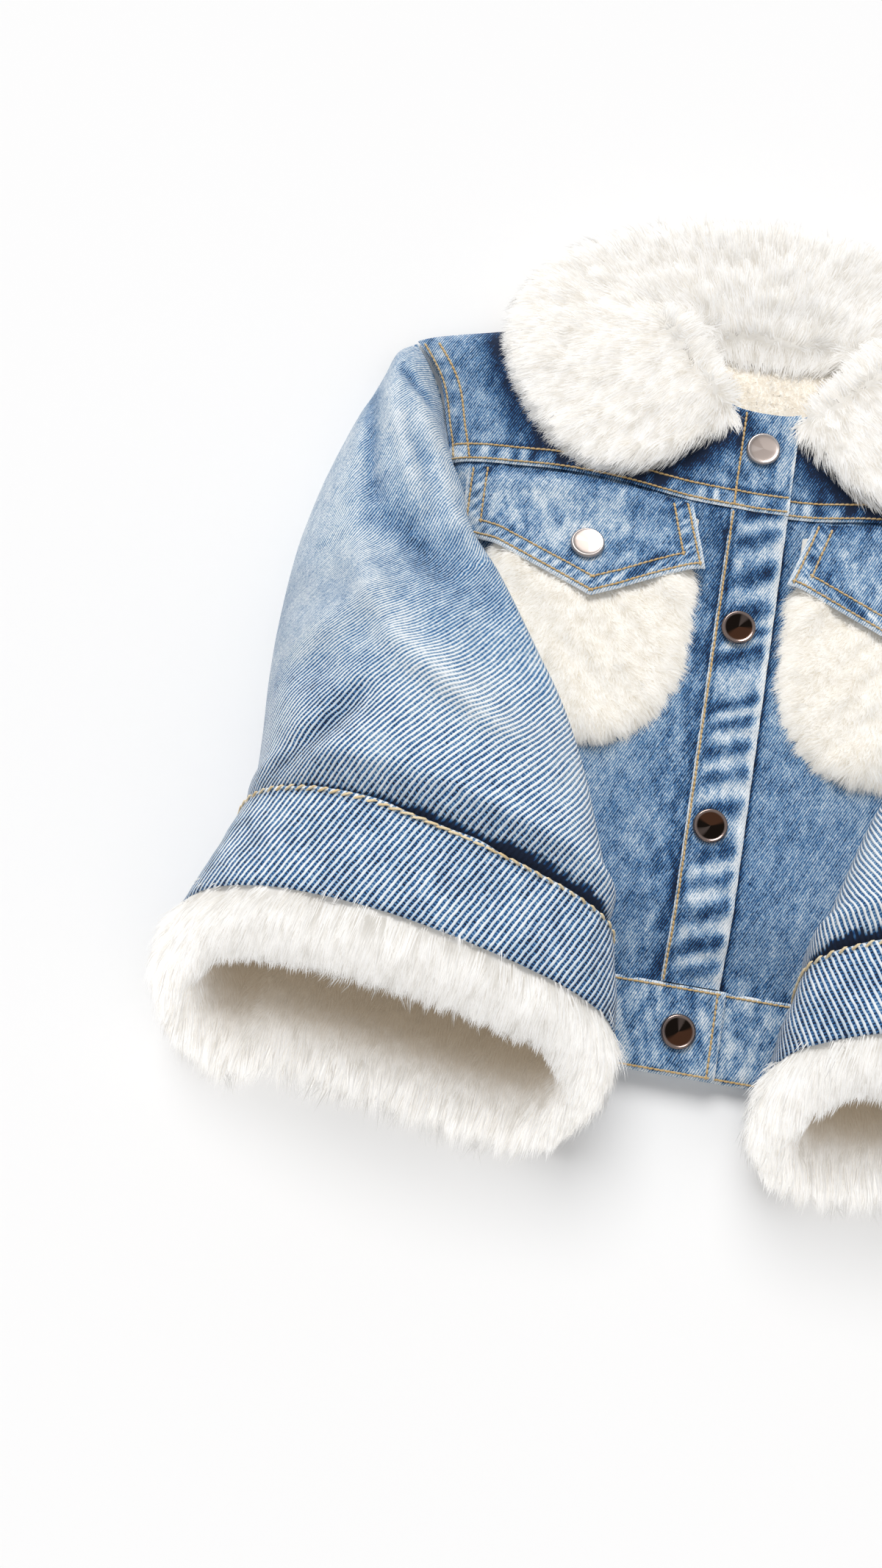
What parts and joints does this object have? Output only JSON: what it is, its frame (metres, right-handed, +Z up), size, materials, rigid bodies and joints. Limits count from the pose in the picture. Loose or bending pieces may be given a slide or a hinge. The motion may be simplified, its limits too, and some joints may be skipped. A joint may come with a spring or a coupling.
{
  "type": "sherpa lined jacket",
  "caption": "Toddler's washed denim jacket with a deep pile collar, pile patch pockets under pointed flaps, and pile-lined cuffs, laid flat on its back.",
  "frame": {"origin": "middle of the footprint, on the surface that the jacket lies on", "axes": "+Z up off the surface, +Y towards the neck, +X towards the wearer's left"},
  "size_m": [0.431, 0.4258, 0.0951],
  "materials": {
    "washed_denim": "light blue washed cotton twill, paler along folded edges",
    "white_pile": "long off-white polyester pile",
    "cream_sherpa": "short curly cream fleece",
    "rose_metal": "polished rose-grey plated snap caps",
    "gunmetal": "polished dark gunmetal snap caps"
  },
  "bodies": {
    "root": {"back_panel": "washed_denim", "hem_band_back": "washed_denim", "lining_back": "cream_sherpa", "lining_front_right": "cream_sherpa", "lining_front_left": "cream_sherpa", "front_right_panel": "washed_denim", "front_left_panel": "washed_denim", "front_right_yoke": "washed_denim", "front_left_yoke": "washed_denim", "hem_band_right": "washed_denim", "hem_band_left": "washed_denim", "placket_right": "washed_denim", "pocket_right": "white_pile", "pocket_left": "white_pile", "flap_right": "washed_denim", "flap_left": "washed_denim", "collar": "white_pile", "sleeve_right": "washed_denim", "sleeve_left": "washed_denim", "cuff_band_right": "washed_denim", "cuff_band_left": "washed_denim", "cuff_lining_right": "white_pile", "cuff_lining_left": "white_pile", "snap_neck": "rose_metal", "snap_chest": "gunmetal", "snap_waist": "gunmetal", "snap_hem": "gunmetal", "snap_flap_right": "rose_metal", "snap_flap_left": "rose_metal"}
  },
  "joints": []
}
